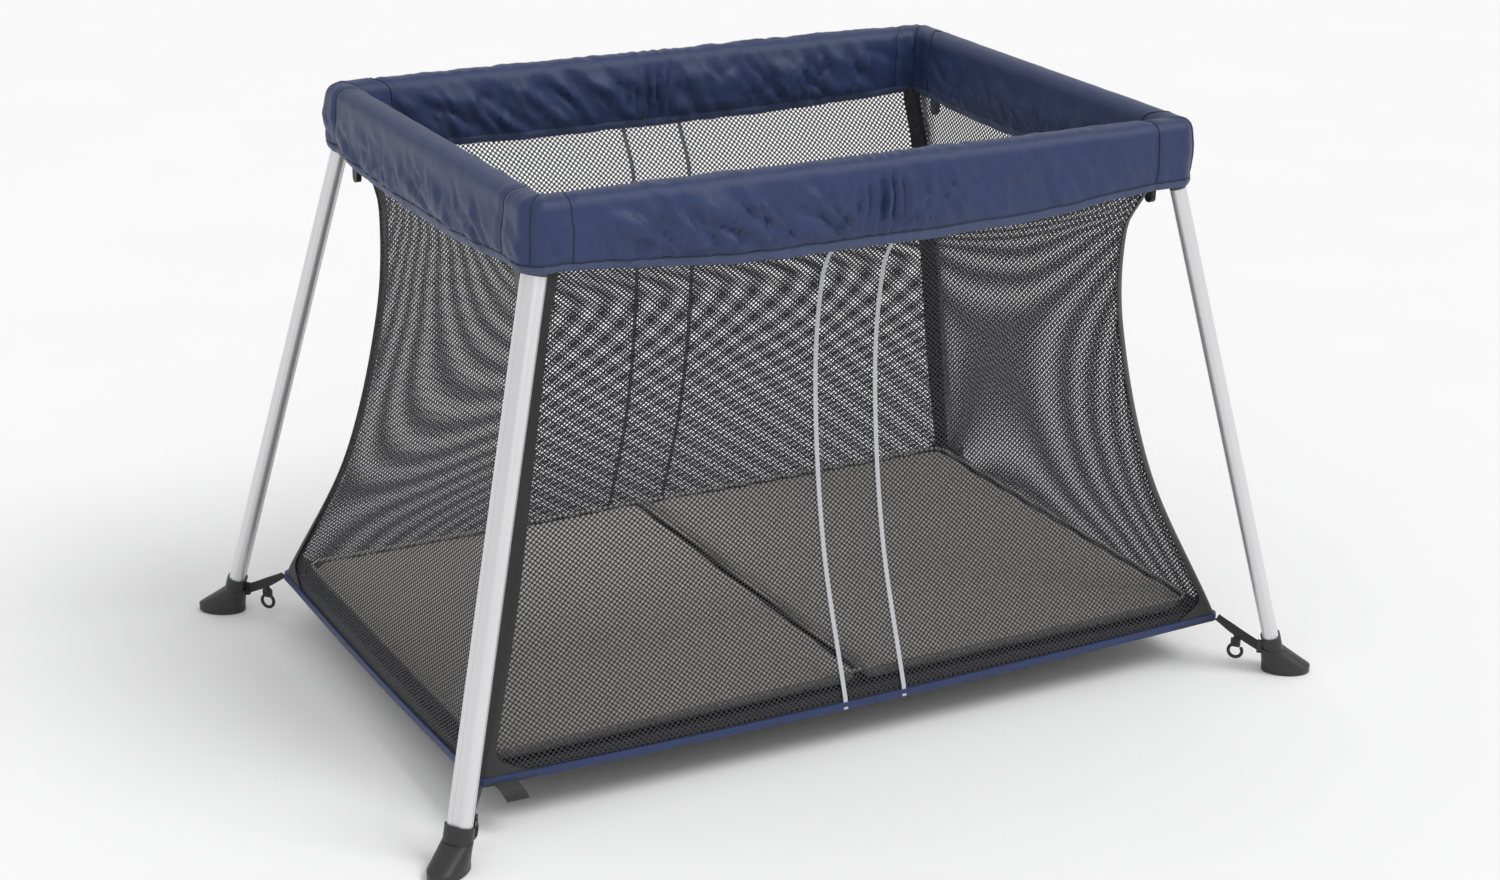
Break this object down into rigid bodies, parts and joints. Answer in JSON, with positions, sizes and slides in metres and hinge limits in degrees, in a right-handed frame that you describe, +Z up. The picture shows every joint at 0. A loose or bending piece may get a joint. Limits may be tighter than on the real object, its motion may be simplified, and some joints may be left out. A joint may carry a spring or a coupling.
{
  "type": "travel play yard",
  "caption": "Folding travel play yard with splayed flat-oval legs, a padded cloth rim and a flared mesh tub with a mattress.",
  "frame": {"origin": "on the floor, at the centre of the footprint", "axes": "+X along the long side, +Y to the rear, +Z up"},
  "size_m": [1.1012, 0.7574, 0.654],
  "materials": {
    "aluminium_rail": "drawn tube",
    "anodised_leg": "satin clear anodised",
    "black_plastic": "fine moulded texture",
    "foot_plastic": "dark grey, fine moulded texture",
    "frame_plastic": "moulded",
    "navy_cloth": "plain woven polyester with a slight sheen",
    "mesh_cloth": "knitted polyester mesh",
    "floor_cloth": "woven polyester",
    "mattress_cloth": "soft woven polyester",
    "black_webbing": "woven webbing",
    "steel": "zinc plated"
  },
  "bodies": {
    "left_frame": {"end_rail_left": "aluminium_rail", "side_rail_front_left": "aluminium_rail", "side_rail_rear_left": "aluminium_rail", "corner_bracket_front_left": "frame_plastic", "corner_bracket_rear_left": "frame_plastic", "hinge_block_front_left": "frame_plastic", "hinge_block_rear_left": "frame_plastic", "rail_cover_left": "navy_cloth", "mesh_end_left": "mesh_cloth", "mesh_side_front_left": "mesh_cloth", "mesh_side_rear_left": "mesh_cloth", "floor_panel_left": "floor_cloth", "mattress_left": "mattress_cloth", "pivot_pins_left": "steel", "rail_screws_left": "steel", "hinge_pins": "steel", "release_spring_front": "steel", "release_spring_rear": "steel"},
    "right_frame": {"end_rail_right": "aluminium_rail", "side_rail_front_right": "aluminium_rail", "side_rail_rear_right": "aluminium_rail", "corner_bracket_front_right": "frame_plastic", "corner_bracket_rear_right": "frame_plastic", "hinge_block_front_right": "frame_plastic", "hinge_block_rear_right": "frame_plastic", "rail_cover_right": "navy_cloth", "mesh_end_right": "mesh_cloth", "mesh_side_front_right": "mesh_cloth", "mesh_side_rear_right": "mesh_cloth", "floor_panel_right": "floor_cloth", "mattress_right": "mattress_cloth", "pivot_pins_right": "steel", "rail_screws_right": "steel"},
    "leg_front_left": {"leg_head_front_left": "frame_plastic", "leg_tube_front_left": "anodised_leg", "foot_front_left": "foot_plastic", "foot_strap_front_left": "black_webbing"},
    "leg_front_right": {"leg_head_front_right": "frame_plastic", "leg_tube_front_right": "anodised_leg", "foot_front_right": "foot_plastic", "foot_strap_front_right": "black_webbing"},
    "leg_rear_left": {"leg_head_rear_left": "frame_plastic", "leg_tube_rear_left": "anodised_leg", "foot_rear_left": "foot_plastic", "foot_strap_rear_left": "black_webbing"},
    "leg_rear_right": {"leg_head_rear_right": "frame_plastic", "leg_tube_rear_right": "anodised_leg", "foot_rear_right": "foot_plastic", "foot_strap_rear_right": "black_webbing"},
    "latch_front_left": {"leg_latch_front_left": "black_plastic"},
    "latch_front_right": {"leg_latch_front_right": "black_plastic"},
    "latch_rear_left": {"leg_latch_rear_left": "black_plastic"},
    "latch_rear_right": {"leg_latch_rear_right": "black_plastic"},
    "hook_front_left": {"hook_front_left": "black_plastic"},
    "hook_front_right": {"hook_front_right": "black_plastic"},
    "hook_rear_left": {"hook_rear_left": "black_plastic"},
    "hook_rear_right": {"hook_rear_right": "black_plastic"},
    "button_front": {"release_button_front": "black_plastic"},
    "button_rear": {"release_button_rear": "black_plastic"}
  },
  "joints": [
    {"name": "frame_fold", "type": "hinge", "parent": "left_frame", "child": "right_frame", "pos_m": [0, 0, 0.644], "axis": [0, -1, 0], "range_deg": [0, 170], "deforming": ["rail_cover_left", "rail_cover_right"]},
    {"name": "leg_fold_front_left", "type": "hinge", "parent": "left_frame", "child": "leg_front_left", "pos_m": [-0.382, -0.266, 0.592], "axis": [0.0124, -0.9898, 0.1417], "range_deg": [0, 97.8]},
    {"name": "leg_fold_front_right", "type": "hinge", "parent": "right_frame", "child": "leg_front_right", "pos_m": [0.382, -0.266, 0.592], "axis": [0.0124, 0.9898, -0.1417], "range_deg": [0, 97.8]},
    {"name": "leg_fold_rear_left", "type": "hinge", "parent": "left_frame", "child": "leg_rear_left", "pos_m": [-0.382, 0.266, 0.592], "axis": [-0.0124, -0.9898, -0.1417], "range_deg": [0, 97.8]},
    {"name": "leg_fold_rear_right", "type": "hinge", "parent": "right_frame", "child": "leg_rear_right", "pos_m": [0.382, 0.266, 0.592], "axis": [-0.0124, 0.9898, 0.1417], "range_deg": [0, 97.8]},
    {"name": "latch_squeeze_front_left", "type": "hinge", "parent": "left_frame", "child": "latch_front_left", "pos_m": [-0.382, -0.225, 0.602], "axis": [-1, 0, 0], "range_deg": [0, 12], "stiffness_Nm_per_rad": 0.1, "springref_deg": -17.19},
    {"name": "latch_squeeze_front_right", "type": "hinge", "parent": "right_frame", "child": "latch_front_right", "pos_m": [0.382, -0.225, 0.602], "axis": [-1, 0, 0], "range_deg": [0, 12], "stiffness_Nm_per_rad": 0.1, "springref_deg": -17.19},
    {"name": "latch_squeeze_rear_left", "type": "hinge", "parent": "left_frame", "child": "latch_rear_left", "pos_m": [-0.382, 0.225, 0.602], "axis": [1, 0, 0], "range_deg": [0, 12], "stiffness_Nm_per_rad": 0.1, "springref_deg": -17.19},
    {"name": "latch_squeeze_rear_right", "type": "hinge", "parent": "right_frame", "child": "latch_rear_right", "pos_m": [0.382, 0.225, 0.602], "axis": [1, 0, 0], "range_deg": [0, 12], "stiffness_Nm_per_rad": 0.1, "springref_deg": -17.19},
    {"name": "hook_swing_front_left", "type": "hinge", "parent": "leg_front_left", "child": "hook_front_left", "pos_m": [-0.48062, -0.31795, 0.03238], "axis": [-0.6258, -0.78, 0], "range_deg": [-30, 30]},
    {"name": "hook_swing_front_right", "type": "hinge", "parent": "leg_front_right", "child": "hook_front_right", "pos_m": [0.48062, -0.31795, 0.03238], "axis": [0.6258, -0.78, 0], "range_deg": [-30, 30]},
    {"name": "hook_swing_rear_left", "type": "hinge", "parent": "leg_rear_left", "child": "hook_rear_left", "pos_m": [-0.48062, 0.31795, 0.03238], "axis": [-0.6258, 0.78, 0], "range_deg": [-30, 30]},
    {"name": "hook_swing_rear_right", "type": "hinge", "parent": "leg_rear_right", "child": "hook_rear_right", "pos_m": [0.48062, 0.31795, 0.03238], "axis": [0.6258, 0.78, 0], "range_deg": [-30, 30]},
    {"name": "button_press_front", "type": "slide", "parent": "left_frame", "child": "button_front", "axis": [0, 0, 1], "range_m": [0, 0.004], "stiffness_N_per_m": 400, "springref_m": -0.004, "deforming": ["release_spring_front"]},
    {"name": "button_press_rear", "type": "slide", "parent": "left_frame", "child": "button_rear", "axis": [0, 0, 1], "range_m": [0, 0.004], "stiffness_N_per_m": 400, "springref_m": -0.004, "deforming": ["release_spring_rear"]}
  ],
  "couplings": [
    {"joint": "leg_fold_front_left", "follows": "frame_fold", "ratio": 0.575},
    {"joint": "leg_fold_front_right", "follows": "frame_fold", "ratio": 0.575},
    {"joint": "leg_fold_rear_left", "follows": "frame_fold", "ratio": 0.575},
    {"joint": "leg_fold_rear_right", "follows": "frame_fold", "ratio": 0.575}
  ]
}
